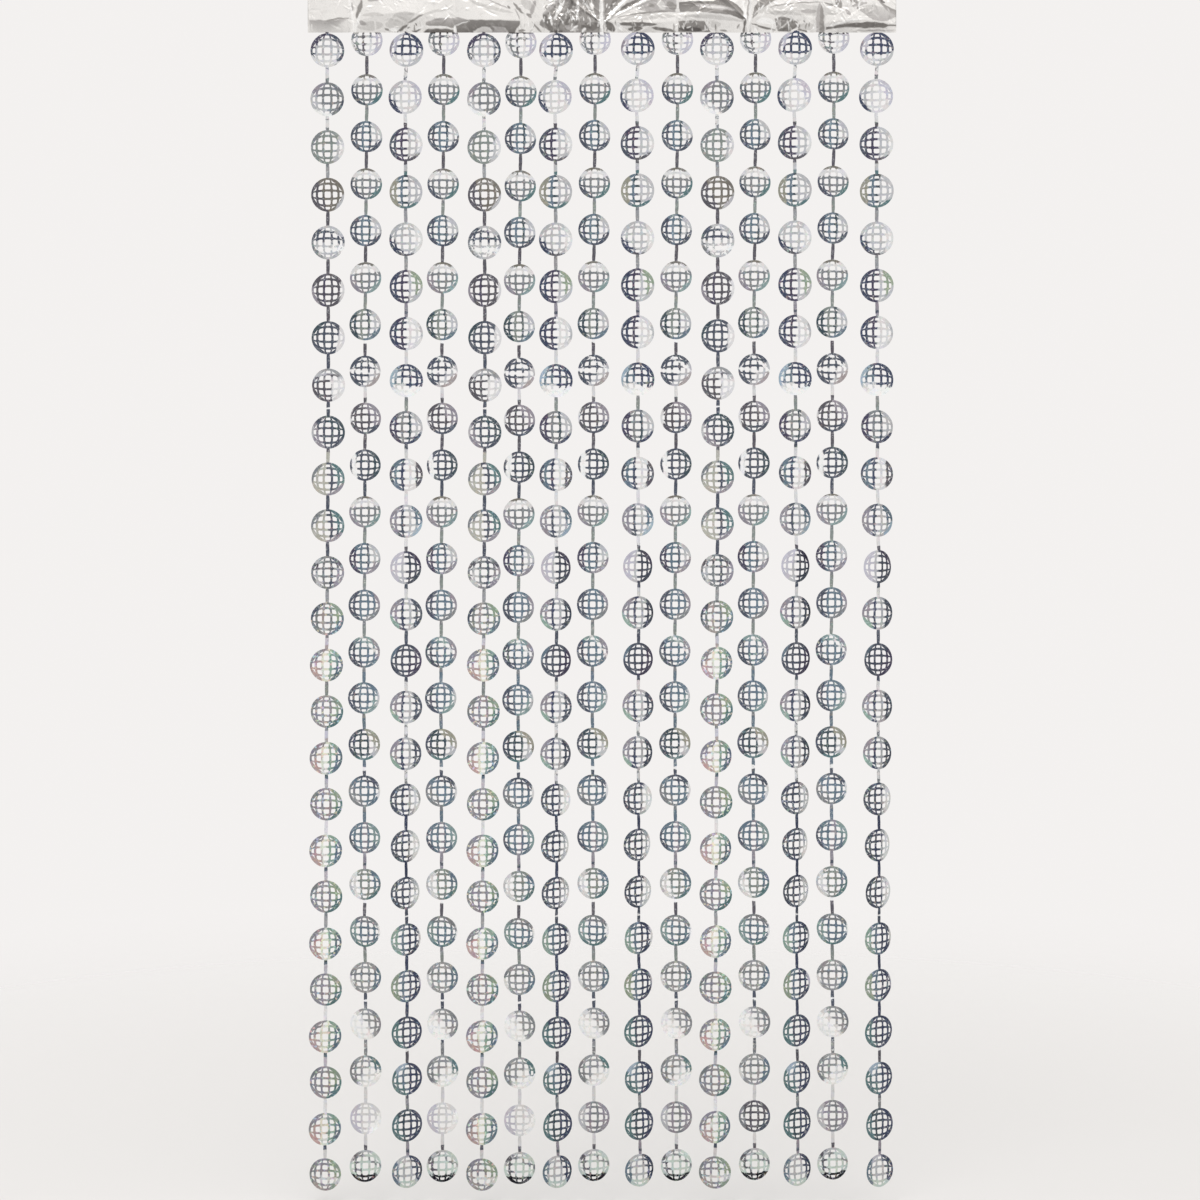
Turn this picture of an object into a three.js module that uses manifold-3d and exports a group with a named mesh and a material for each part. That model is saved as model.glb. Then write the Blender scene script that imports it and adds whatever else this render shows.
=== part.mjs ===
// Foil fringe curtain: a crinkled foil heading, with two layers of die-cut foil hanging behind it.
// Each layer is an uncut top strip with a row of strands below it, and a strand is a chain of flat
// round discs joined by narrow links. Millimetres, +Z up, +X to the viewer's right, and the seen
// face looks towards -Y. The origin is the middle of the heading's top edge.
import * as THREE from "three";
import { mergeVertices } from "three/addons/utils/BufferGeometryUtils.js";
import Module from "manifold-3d";

const wasm = await Module();
wasm.setup();

// Driving dimensions of the whole curtain
const curtainWidth = 1000;
const headingDrop = 60;
const foil = 1; // thickness of the solids' foil
const gap = 0.3; // clear space between pieces that touch

// The uncut top strip of a die-cut layer, doubled over and hidden behind the heading
const strip = { top: -2, bottom: -40, thick: 1.4 };

// The stack from the face to the back: heading, front strip, rear strip
const frontPlane = -(gap + strip.thick) / 2;
const rearPlane = (gap + strip.thick) / 2;
const curtainBack = rearPlane + strip.thick / 2;
const headingBack = frontPlane - strip.thick / 2 - gap;

// Strands: discs in a chain, the same number on every strand
const discCount = 25;
const linkWidth = 5;
const rootOverlap = 4; // how far a strand's root runs up into its strip

// The two die-cut layers: middle plane, height of the top row of discs, and the discs' radius and
// spacing at the top and the foot. The front discs get a little smaller and closer downwards.
const layers = {
  front: { plane: frontPlane, firstDisc: -87.2, radius: [28.7, 27.2], pitch: [81.6, 77.4] },
  rear: { plane: rearPlane, firstDisc: -73.6, radius: [26.7, 26.7], pitch: [79.65, 79.65] },
};

// Where each strand hangs, from left to right, in which layer, in which of the three ways below, and
// how far it drops below the even rows of its layer
const strands = [
  { x: -468.2, layer: "front", hang: "swaying", drop: 4.2 },
  { x: -403.9, layer: "rear", hang: "facing", drop: 3.4 },
  { x: -333.7, layer: "front", hang: "turned", drop: 0.9 },
  { x: -273.1, layer: "rear", hang: "facing", drop: 3.4 },
  { x: -201.9, layer: "front", hang: "swaying", drop: 4.2 },
  { x: -142.0, layer: "rear", hang: "facing", drop: 6.8 },
  { x: -79.1, layer: "front", hang: "turned", drop: 0.9 },
  { x: -15.8, layer: "rear", hang: "facing", drop: 1.7 },
  { x: 60.0, layer: "front", hang: "turned", drop: -1.7 },
  { x: 124.4, layer: "rear", hang: "facing", drop: 1.7 },
  { x: 194.4, layer: "front", hang: "swaying", drop: 0.8 },
  { x: 257.2, layer: "rear", hang: "facing", drop: 0 },
  { x: 327.6, layer: "front", hang: "turned", drop: -2.6 },
  { x: 390.2, layer: "rear", hang: "facing", drop: -0.9 },
  { x: 466.7, layer: "front", hang: "turned", drop: -0.8 },
];

// How a strand hangs at some of its discs, counted from the top, with even change between them:
// turn about the strand and tip towards the viewer in degrees, sway to the side in mm, and rise in
// mm above the layer's even row, as the foil draws up or sags.
// The odd discs of a strand add the rock of their row to their turn, and the even ones subtract it.
const hangs = {
  swaying: [
    { disc: 1, turn: 0, rock: 0, tip: 0, sway: 1, rise: 1.4 },
    { disc: 2, turn: -1, rock: 0, tip: 1, sway: 1, rise: 0 },
    { disc: 4, turn: -4, rock: 1, tip: 3, sway: 2, rise: 0 },
    { disc: 8, turn: 0, rock: 2, tip: 0, sway: 3, rise: -0.8 },
    { disc: 12, turn: 4, rock: 2, tip: -3, sway: 1.5, rise: 0.9 },
    { disc: 14, turn: 5, rock: -8, tip: 2, sway: 0.5, rise: 2.6 },
    { disc: 19, turn: 5, rock: -8, tip: 0, sway: -1, rise: 3.4 },
    { disc: 25, turn: 4, rock: -9, tip: -2, sway: -2.5, rise: -1.3 },
  ],
  facing: [
    { disc: 1, turn: 0, rock: 0, tip: 0, sway: 4, rise: 4.6 },
    { disc: 2, turn: 2, rock: 1, tip: -1, sway: 4, rise: 0 },
    { disc: 4, turn: 6, rock: 3, tip: -2, sway: 3, rise: -1 },
    { disc: 7, turn: -1, rock: 3, tip: 1, sway: 1, rise: -1.2 },
    { disc: 9, turn: -6, rock: 3, tip: 3, sway: 1.5, rise: -1.4 },
    { disc: 14, turn: 6, rock: 2, tip: -2, sway: -0.5, rise: -0.4 },
    { disc: 15, turn: 8, rock: 2, tip: -3, sway: -0.7, rise: 1.4 },
    { disc: 20, turn: -7, rock: 4, tip: 4, sway: 1, rise: 3.4 },
    { disc: 22, turn: -2, rock: 4, tip: 1, sway: 2, rise: 4.6 },
    { disc: 25, turn: 5, rock: 3, tip: -4, sway: 2, rise: 2.9 },
  ],
  turned: [
    { disc: 1, turn: 0, rock: 0, tip: 0, sway: 1, rise: -1.2 },
    { disc: 2, turn: -4, rock: 2, tip: 1, sway: -0.9, rise: 0 },
    { disc: 3, turn: -7, rock: 3, tip: 2, sway: 0, rise: 0.7 },
    { disc: 8, turn: 5, rock: 3, tip: -1, sway: 1, rise: 3.6 },
    { disc: 10, turn: 10, rock: 3, tip: -2, sway: 1, rise: 3.9 },
    { disc: 12, turn: 22, rock: -5, tip: 2, sway: 1.5, rise: 5.6 },
    { disc: 14, turn: 21, rock: -4, tip: 0, sway: 1.5, rise: 7.1 },
    { disc: 16, turn: 20, rock: -3, tip: -3, sway: 1, rise: 7.3 },
    { disc: 18, turn: 35, rock: 1, tip: 1, sway: 1, rise: 9 },
    { disc: 21, turn: 28, rock: 1, tip: 3, sway: 2.5, rise: 6.8 },
    { disc: 25, turn: 27, rock: 0, tip: -3, sway: 4, rise: 3.2 },
  ],
};

// Upright packing folds of the heading, as narrow ridges over its whole drop
const pleats = [
  { x: -425, half: 7, height: 2.6 },
  { x: -253, half: 4, height: 1.2 },
  { x: -133, half: 9, height: 1.8 },
  { x: 0, half: 6, height: 3.4 },
  { x: 129, half: 4, height: 1.2 },
  { x: 248, half: 6, height: 3.4 },
  { x: 366, half: 8, height: 2.0 },
];

// Between the packing folds the foil swags in a long ridge: its height above the lower edge at
// the bay's ends and middle, how far it stands out, and how much of that is left at the top edge
const swags = [
  { from: -500, to: -425, end: 24, middle: 19, height: 4.5, top: 0.5 },
  { from: -425, to: -253, end: 16, middle: 33, height: 4.0, top: 0.2 },
  { from: -253, to: -133, end: 22, middle: 20, height: 5.5, top: 0.4 },
  { from: -133, to: 0, end: 14, middle: 22, height: 3.0, top: 0.6 },
  { from: 0, to: 129, end: 20, middle: 15, height: 4.0, top: 0.1 },
  { from: 129, to: 248, end: 24, middle: 34, height: 5.5, top: 0.1 },
  { from: 248, to: 366, end: 18, middle: 36, height: 4.5, top: 0.2 },
  { from: 366, to: 500, end: 14, middle: 20, height: 5.0, top: 0.5 },
];

// Fans: straight ridges that widen from a foot beside a packing fold up to the top edge. The foot's
// place and height, the place of the upper end, the half width at half height, and the relief.
const fanFade = 12; // how far below its foot a ridge dies away
const fans = [
  { foot: -6, rise: 20, head: -60, half: 7, height: 2.4 },
  { foot: -10, rise: 24, head: -28, half: 5, height: 2.0 },
  { foot: -76, rise: 10, head: -52, half: 7, height: 2.2 },
  { foot: 6, rise: 18, head: 46, half: 7, height: 2.6 },
  { foot: 8, rise: 20, head: 86, half: 8, height: 2.0 },
  { foot: 242, rise: 24, head: 206, half: 8, height: 2.2 },
  { foot: 256, rise: 26, head: 292, half: 8, height: 2.4 },
  { foot: 410, rise: 16, head: 470, half: 9, height: 2.6 },
];

const foilLook = (color, roughness) =>
  new THREE.MeshStandardMaterial({ color, roughness, metalness: 1 });
const headingFoil = foilLook(0xc4c0ba, 0.22);
const frontFoil = foilLook(0xaab6c2, 0.18);
const rearFoil = foilLook(0x97a7ae, 0.18);

// A value that changes evenly from the first disc of a strand to the last
const downStrand = ([top, low], disc) => THREE.MathUtils.lerp(top, low, (disc - 1) / (discCount - 1));

// Height of a layer's even row of discs: the links' spacings above it, added up
function rowHeight(layer, disc) {
  let z = layer.firstDisc;
  for (let above = 1; above < disc; above += 1) z -= downStrand(layer.pitch, above + 0.5);
  return z;
}

// How a strand hangs at a disc, worked out evenly between the two rows of its table around it
function hangAt(table, disc) {
  const next = Math.max(1, table.findIndex((row) => row.disc >= disc));
  const [a, b] = [table[next - 1], table[next]];
  const share = (disc - a.disc) / (b.disc - a.disc);
  const at = (column) => THREE.MathUtils.lerp(a[column], b[column], share);
  return { turn: at("turn"), rock: at("rock"), tip: at("tip"), sway: at("sway"), rise: at("rise") };
}

// A disc's radius, its centre, and its own directions: across its face, down its length, out of its back
function discPlace(strand, disc) {
  const layer = layers[strand.layer];
  const radius = downStrand(layer.radius, disc);
  const hang = hangAt(hangs[strand.hang], disc);
  const turn = hang.turn + (disc % 2 ? hang.rock : -hang.rock);
  const rotation = new THREE.Euler(THREE.MathUtils.degToRad(hang.tip), 0, THREE.MathUtils.degToRad(turn));
  const across = new THREE.Vector3(1, 0, 0).applyEuler(rotation);
  const out = new THREE.Vector3(0, 1, 0).applyEuler(rotation);
  const down = new THREE.Vector3(0, 0, -1).applyEuler(rotation);
  // A turned disc rests its rear edge level with the curtain's back and stands out in front of it
  const reach = radius * Math.hypot(across.y, down.y) + foil / 2;
  const y = Math.min(layer.plane, curtainBack - reach);
  const z = rowHeight(layer, disc) - strand.drop + hang.rise;
  const centre = new THREE.Vector3(strand.x + hang.sway, y, z);
  return { radius, centre, across, out, down };
}

// Cross sections from a strand's root to its last disc, five on each eight-sided disc
function strandSections(strand) {
  const { plane } = layers[strand.layer];
  const first = discPlace(strand, 1);
  const root = new THREE.Vector3(first.centre.x, plane, strip.bottom + rootOverlap);
  const sections = [{ ...first, centre: root, half: linkWidth / 2 }];
  for (let disc = 1; disc <= discCount; disc += 1) {
    const place = discPlace(strand, disc);
    for (const angle of [-90, -45, 0, 45, 90].map(THREE.MathUtils.degToRad)) {
      const centre = place.centre.clone().addScaledVector(place.down, place.radius * Math.sin(angle));
      const half = Math.max(linkWidth / 2, place.radius * Math.cos(angle));
      sections.push({ ...place, centre, half });
    }
  }
  return sections;
}

// A closed mesh from points and four-cornered faces, listed counter-clockwise from outside
function closedGeometry(points, faces) {
  const triangles = faces.flatMap(([a, b, c, d]) => [a, b, c, a, c, d]);
  const geometry = new THREE.BufferGeometry().setFromPoints(points);
  geometry.setIndex(triangles);
  geometry.computeVertexNormals();
  return geometry;
}

// A strand's solid: a flat four-sided ribbon through its cross sections
function ribbonGeometry(sections) {
  const corners = [[-1, -1], [1, -1], [1, 1], [-1, 1]];
  const points = sections.flatMap(({ centre, across, out, half }) =>
    corners.map(([side, back]) =>
      centre.clone().addScaledVector(across, side * half).addScaledVector(out, (back * foil) / 2),
    ),
  );
  const last = points.length - 4;
  const faces = [[0, 1, 2, 3], [last + 3, last + 2, last + 1, last]];
  for (let upper = 0; upper < last; upper += 4) {
    for (let c = 0; c < 4; c += 1) {
      const [one, other] = [upper + c, upper + ((c + 1) % 4)];
      faces.push([one, one + 4, other + 4, other]);
    }
  }
  return closedGeometry(points, faces);
}

// Narrow ridge: one at the middle, nothing from the half width outwards
const ridge = (distance, half) => Math.max(0, 1 - Math.abs(distance) / half);

// How far the heading's foil stands out at a point of its face
function headingRelief(x, z) {
  let relief = 0;
  for (const pleat of pleats) relief += pleat.height * ridge(x - pleat.x, pleat.half);
  for (const fan of fans) {
    const footHeight = fan.rise - headingDrop;
    const up = Math.max(0, 1 - z / footHeight);
    const line = THREE.MathUtils.lerp(fan.foot, fan.head, up);
    const left = ridge(Math.min(0, z - footHeight), fanFade);
    relief += fan.height * left * ridge(x - line, fan.half * (0.5 + up));
  }
  const swag = swags.find(({ to }) => x <= to) ?? swags[swags.length - 1];
  const along = (x - swag.from) / (swag.to - swag.from);
  const bow = Math.sin(Math.PI * along);
  const crest = THREE.MathUtils.lerp(swag.end, swag.middle, bow) - headingDrop;
  const fall = z < crest ? (crest - z) / (crest + headingDrop) : ((1 - swag.top) * (z - crest)) / -crest;
  return relief + swag.height * Math.sqrt(Math.max(0, bow)) * (1 - fall);
}

// Columns of the heading's mesh: three on each packing fold and even ones between them
const columnSpacing = 14;
function headingColumns() {
  const stops = [-curtainWidth / 2];
  for (const { x, half } of pleats) stops.push(x - half, x, x + half);
  stops.push(curtainWidth / 2);
  const columns = [stops[0]];
  for (let k = 1; k < stops.length; k += 1) {
    const span = stops[k] - stops[k - 1];
    const count = Math.max(1, Math.round(span / columnSpacing));
    for (let c = 1; c <= count; c += 1) columns.push(stops[k - 1] + (span * c) / count);
  }
  return columns;
}

// The heading's solid: a crinkled sheet, straight along both of its long edges
const headingRows = [0, 0.2, 0.37, 0.53, 0.7, 0.85, 1].map((share) => -headingDrop * share);
function headingGeometry() {
  const columns = headingColumns();
  const wide = headingRows.length;
  const point = (x, z, front) => new THREE.Vector3(x, headingBack - headingRelief(x, z) - front, z);
  const sheet = (front) => columns.flatMap((x) => headingRows.map((z) => point(x, z, front)));
  const points = [...sheet(foil), ...sheet(0)];
  const back = columns.length * wide;
  const at = (column, row) => column * wide + row;
  const faces = [];
  for (let c = 0; c < columns.length - 1; c += 1) {
    for (let r = 0; r < wide - 1; r += 1) {
      const cell = [at(c, r), at(c, r + 1), at(c + 1, r + 1), at(c + 1, r)];
      faces.push(cell);
      faces.push(cell.map((k) => k + back).reverse());
    }
    const [top, foot] = [at(c, 0), at(c, wide - 1)];
    faces.push([top, top + wide, top + wide + back, top + back]);
    faces.push([foot, foot + back, foot + wide + back, foot + wide]);
  }
  for (let r = 0; r < wide - 1; r += 1) {
    const [left, right] = [at(0, r), at(columns.length - 1, r)];
    faces.push([left, left + back, left + 1 + back, left + 1]);
    faces.push([right, right + 1, right + 1 + back, right + back]);
  }
  return closedGeometry(points, faces);
}

// manifold-3d's solid of a closed geometry, and the geometry of such a solid
function solidOf(geometry) {
  const bare = geometry.clone();
  bare.deleteAttribute("normal");
  bare.deleteAttribute("uv");
  const merged = mergeVertices(bare);
  const vertProperties = merged.attributes.position.array;
  const triVerts = new Uint32Array(merged.index.array);
  return new wasm.Manifold(new wasm.Mesh({ numProp: 3, vertProperties, triVerts }));
}

function geometryOf(solid) {
  const { vertProperties, triVerts } = solid.getMesh();
  const geometry = new THREE.BufferGeometry();
  geometry.setAttribute("position", new THREE.BufferAttribute(vertProperties, 3));
  geometry.setIndex(new THREE.BufferAttribute(triVerts, 1));
  geometry.computeVertexNormals();
  return geometry;
}

// A die-cut layer: its top strip with all of its strands joined on
function layerGeometry(layerName) {
  const height = strip.top - strip.bottom;
  const box = new THREE.BoxGeometry(curtainWidth, strip.thick, height);
  box.translate(0, layers[layerName].plane, strip.bottom + height / 2);
  const own = strands.filter(({ layer }) => layer === layerName);
  const parts = own.map((strand) => solidOf(ribbonGeometry(strandSections(strand))));
  return geometryOf(parts.reduce((joined, part) => joined.add(part), solidOf(box)));
}

function piece(name, geometry, material) {
  const mesh = new THREE.Mesh(geometry, material);
  mesh.name = name;
  return mesh;
}

const curtain = new THREE.Group();
curtain.add(piece("heading", headingGeometry(), headingFoil));

const fringe = new THREE.Group();
fringe.add(piece("front_strands", layerGeometry("front"), frontFoil));
fringe.add(piece("rear_strands", layerGeometry("rear"), rearFoil));
curtain.add(fringe);

export default curtain;
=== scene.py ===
# Foil fringe curtain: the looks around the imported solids, in metres, +Z up, seen from -Y
import math

import bpy
import numpy as np
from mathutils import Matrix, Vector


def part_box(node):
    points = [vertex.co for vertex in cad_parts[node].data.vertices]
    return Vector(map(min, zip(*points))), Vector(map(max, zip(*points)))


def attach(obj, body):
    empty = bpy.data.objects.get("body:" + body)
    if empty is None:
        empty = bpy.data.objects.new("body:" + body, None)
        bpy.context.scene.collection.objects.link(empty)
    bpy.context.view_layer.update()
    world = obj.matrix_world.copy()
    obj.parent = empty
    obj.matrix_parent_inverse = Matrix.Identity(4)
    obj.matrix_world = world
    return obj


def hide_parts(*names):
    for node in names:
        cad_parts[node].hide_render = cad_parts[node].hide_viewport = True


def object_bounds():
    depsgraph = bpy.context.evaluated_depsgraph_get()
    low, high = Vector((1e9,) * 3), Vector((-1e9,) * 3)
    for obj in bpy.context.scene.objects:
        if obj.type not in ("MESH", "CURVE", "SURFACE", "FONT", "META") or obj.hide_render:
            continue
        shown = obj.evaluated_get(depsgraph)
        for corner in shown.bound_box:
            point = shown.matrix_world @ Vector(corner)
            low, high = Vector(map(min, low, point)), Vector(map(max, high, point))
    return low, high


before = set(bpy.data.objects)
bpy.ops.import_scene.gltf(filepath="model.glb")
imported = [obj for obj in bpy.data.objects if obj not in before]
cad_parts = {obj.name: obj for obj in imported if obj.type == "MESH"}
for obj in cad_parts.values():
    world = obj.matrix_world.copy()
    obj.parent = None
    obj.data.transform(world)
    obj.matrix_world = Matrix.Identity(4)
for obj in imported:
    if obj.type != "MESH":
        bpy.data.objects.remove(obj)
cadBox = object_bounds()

mm = 0.001
print("frame loaded")


# Shader expressions

class Sock:  # an output socket that takes part in Python expressions
    def __init__(self, shader, socket):
        self.shader = shader
        self.socket = socket

    def calc(self, operation, first, second=0.0):
        return self.shader.node("ShaderNodeMath", {"operation": operation}, {0: first, 1: second})

    def __add__(self, other):
        return self.calc("ADD", self, other)

    def __radd__(self, other):
        return self.calc("ADD", other, self)

    def __sub__(self, other):
        return self.calc("SUBTRACT", self, other)

    def __rsub__(self, other):
        return self.calc("SUBTRACT", other, self)

    def __mul__(self, other):
        return self.calc("MULTIPLY", self, other)

    def __rmul__(self, other):
        return self.calc("MULTIPLY", other, self)

    def __abs__(self):
        return self.calc("ABSOLUTE", self)


class Shader:  # a node tree with one method that makes any node, and short forms of common ones
    def __init__(self, owner):
        owner.use_nodes = True
        self.tree = owner.node_tree
        self.tree.nodes.clear()

    def node(self, kind, settings=None, sockets=None, out=0):
        made = self.tree.nodes.new(kind)
        for key, value in (settings or {}).items():
            if key == "stops":
                self.setStops(made.color_ramp, value)
            else:
                setattr(made, key, value)
        for key, value in (sockets or {}).items():
            if isinstance(value, Sock):
                self.tree.links.new(value.socket, made.inputs[key])
            else:
                made.inputs[key].default_value = value
        return Sock(self, made.outputs[out]) if made.outputs else None

    def setStops(self, ramp, stops):
        while len(ramp.elements) < len(stops):
            ramp.elements.new(0.5)
        for element, (place, color) in zip(ramp.elements, stops):
            element.position = place
            element.color = color

    def between(self, value, low, high):  # 0 below low, 1 above high, soft between
        return self.node(
            "ShaderNodeMapRange", {"interpolation_type": "SMOOTHSTEP"},
            {"Value": value, "From Min": low, "From Max": high},
        )

    def mix(self, share, first, second, blend="MIX"):  # colours
        return self.node(
            "ShaderNodeMix", {"data_type": "RGBA", "blend_type": blend},
            {0: share, 6: first, 7: second}, out=2,
        )

    def noise(self, place, scale, detail=2.0, rough=0.6):
        return self.node(
            "ShaderNodeTexNoise", {},
            {"Vector": place, "Scale": scale, "Detail": detail, "Roughness": rough},
        )

    def attribute(self, name, out=0):
        return self.node("ShaderNodeAttribute", {"attribute_name": name}, out=out)


def newMaterial(name):
    material = bpy.data.materials.new(name)
    return material, Shader(material)


def addObject(name, data):
    made = bpy.data.objects.new(name, data)
    bpy.context.scene.collection.objects.link(made)
    return made


def hexTint(code):  # a colour as it looks on screen, to the linear values that shaders use
    parts = [int(code[k:k + 2], 16) / 255 for k in (0, 2, 4)]
    return tuple(p / 12.92 if p <= 0.04045 else ((p + 0.055) / 1.055) ** 2.4 for p in parts) + (1.0,)


# Camera: straight on, at the height of the picture's middle

view = {
    "pixel": 1.7007 * mm,            # one pixel of the 1200 pixel frame, at the curtain
    "curtainMiddle": 602,            # column of the curtain's middle
    "headingFoot": 33,               # row of the heading's lower edge
    "frameMiddle": 600,
    "distance": 3.35,
}


def addCamera():
    camera = addObject("camera", bpy.data.cameras.new("camera"))
    headingDrop = cadBox[1][2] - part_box("heading")[0][2]
    x = (view["frameMiddle"] - view["curtainMiddle"]) * view["pixel"]
    z = -headingDrop - (view["frameMiddle"] - view["headingFoot"]) * view["pixel"]
    camera.location = (x, -view["distance"], z)
    camera.rotation_euler = (math.radians(90), 0, 0)
    frameWidth = 2 * view["frameMiddle"] * view["pixel"]
    camera.data.lens = camera.data.sensor_width * view["distance"] / frameWidth
    bpy.context.scene.camera = camera


addCamera()


# Strands: where they hang and how, as in the solids

fringe = {
    "discs": 25,
    "back": 1.55 * mm,               # the curtain's back, which turned discs keep to
    "foil": 1 * mm,                  # the solids' foil, for how far a turned disc stands forward
    "film": 0.25 * mm,               # the film that is seen
    "weld": 0.01 * mm,               # points closer than this become one
    "root": -39 * mm,                # where a strand starts, inside its top strip
}

# The plane of each layer's film in metres. In mm, the height of its first disc, and the radius and
# spacing of its discs at the top and at the foot
layers = {
    "front": {"plane": -0.85 * mm, "firstDisc": -87.2, "radius": (28.7, 27.2), "pitch": (81.6, 77.4)},
    "rear": {"plane": 0.85 * mm, "firstDisc": -73.6, "radius": (26.7, 26.7), "pitch": (79.65, 79.65)},
}

strandPlaces = [  # x in mm, layer, way of hanging, how far lower than the layer's even row in mm
    (-468.2, "front", "swaying", 4.2), (-403.9, "rear", "facing", 3.4), (-333.7, "front", "turned", 0.9),
    (-273.1, "rear", "facing", 3.4), (-201.9, "front", "swaying", 4.2), (-142.0, "rear", "facing", 6.8),
    (-79.1, "front", "turned", 0.9), (-15.8, "rear", "facing", 1.7), (60.0, "front", "turned", -1.7),
    (124.4, "rear", "facing", 1.7), (194.4, "front", "swaying", 0.8), (257.2, "rear", "facing", 0),
    (327.6, "front", "turned", -2.6), (390.2, "rear", "facing", -0.9), (466.7, "front", "turned", -0.8),
]

hangColumns = ("disc", "turn", "rock", "tip", "sway", "rise")   # degrees, and sway and rise in mm
hangs = {
    "swaying": [
        (1, 0, 0, 0, 1, 1.4), (2, -1, 0, 1, 1, 0), (4, -4, 1, 3, 2, 0), (8, 0, 2, 0, 3, -0.8),
        (12, 4, 2, -3, 1.5, 0.9), (14, 5, -8, 2, 0.5, 2.6), (19, 5, -8, 0, -1, 3.4),
        (25, 4, -9, -2, -2.5, -1.3),
    ],
    "facing": [
        (1, 0, 0, 0, 4, 4.6), (2, 2, 1, -1, 4, 0), (4, 6, 3, -2, 3, -1), (7, -1, 3, 1, 1, -1.2),
        (9, -6, 3, 3, 1.5, -1.4), (14, 6, 2, -2, -0.5, -0.4), (15, 8, 2, -3, -0.7, 1.4),
        (20, -7, 4, 4, 1, 3.4), (22, -2, 4, 1, 2, 4.6), (25, 5, 3, -4, 2, 2.9),
    ],
    "turned": [
        (1, 0, 0, 0, 1, -1.2), (2, -4, 2, 1, -0.9, 0), (3, -7, 3, 2, 0, 0.7), (8, 5, 3, -1, 1, 3.6),
        (10, 10, 3, -2, 1, 3.9), (12, 22, -5, 2, 1.5, 5.6), (14, 21, -4, 0, 1.5, 7.1),
        (16, 20, -3, -3, 1, 7.3), (18, 35, 1, 1, 1, 9), (21, 28, 1, 3, 2.5, 6.8), (25, 27, 0, -3, 4, 3.2),
    ],
}


def downStrand(ends, disc):  # changes evenly from the first disc to the last
    return ends[0] + (ends[1] - ends[0]) * (disc - 1) / (fringe["discs"] - 1)


def hangAt(kind, disc):
    table = np.array(hangs[kind], float)
    return {name: np.interp(disc, table[:, 0], table[:, k]) for k, name in enumerate(hangColumns)}


def discPlace(x, layerName, kind, drop, disc):
    layer = layers[layerName]
    radius = downStrand(layer["radius"], disc) * mm
    hang = hangAt(kind, disc)
    turn = math.radians(hang["turn"] + (hang["rock"] if disc % 2 else -hang["rock"]))
    tip = math.radians(hang["tip"])
    aboutZ = np.array([[math.cos(turn), -math.sin(turn), 0], [math.sin(turn), math.cos(turn), 0], [0, 0, 1]])
    aboutX = np.array([[1, 0, 0], [0, math.cos(tip), -math.sin(tip)], [0, math.sin(tip), math.cos(tip)]])
    axes = aboutX @ aboutZ
    reach = radius * math.hypot(axes[1, 0], axes[1, 2]) + fringe["foil"] / 2
    y = min(layer["plane"], fringe["back"] - reach)
    z = layer["firstDisc"] - sum(downStrand(layer["pitch"], above + 0.5) for above in range(1, disc))
    z += hang["rise"] - drop
    return radius, np.array([(x + hang["sway"]) * mm, y, z * mm]), axes


# The die-cut disc: a grid of windows bulged like a mirror ball's

discCut = {                          # shares of the radius, along the disc's level middle line
    "innerBar": (0.182, 0.318),
    "outerBar": (0.585, 0.722),
    "rim": 0.87,
    "bulge": 0.75,                   # how far the bars bow: 0 a flat net, 1 a globe's meridians
    "innerCorner": 0.12,             # of a window's width, cut from its corners on the inner side
    "outerCorner": 0.22,
}


def halfStops():  # (end of the stretch, window it is in or None, which part of the window)
    (inner, innerEnd), (outer, outerEnd) = discCut["innerBar"], discCut["outerBar"]
    stretches = [(inner * (1 - 2 * discCut["innerCorner"]), 0, 0), (inner, 0, 1), (innerEnd, None, 0)]
    for start, end, window, bar in ((innerEnd, outer, 1, outerEnd), (outerEnd, discCut["rim"], 2, 1.0)):
        width = end - start
        stretches += [
            (start + discCut["innerCorner"] * width, window, -1),
            (end - discCut["outerCorner"] * width, window, 0),
            (end, window, 1), (bar, None, 0),
        ]
    return stretches


def bulged(u, v):  # a point of the flat net of windows, placed on the disc
    k = discCut["bulge"]
    share = 1 - k * k * u * u * v * v
    point = np.column_stack([u * np.sqrt((1 - k * v * v) / share), v * np.sqrt((1 - k * u * u) / share)])
    onRim = np.maximum(np.abs(u), np.abs(v)) == 1
    point[onRim] /= np.hypot(*point[onRim].T)[:, None]
    return point


def windowFill(across, up, acrossPart, upPart):
    # What is left of a cell of a window: 0 nothing, 1 all of it, or (x, y) towards the half that is left
    sideways, upwards = (1 if across > 0 else -1), (1 if up > 0 else -1)
    if abs(across) + abs(up) == 3:       # beside the crescents a window is a triangle
        beyond = acrossPart * sideways + upPart * upwards
        if beyond > 0:
            return 1
        if beyond == 0:
            return sideways, upwards
    return (acrossPart, upPart) if acrossPart and upPart else 0


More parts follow.
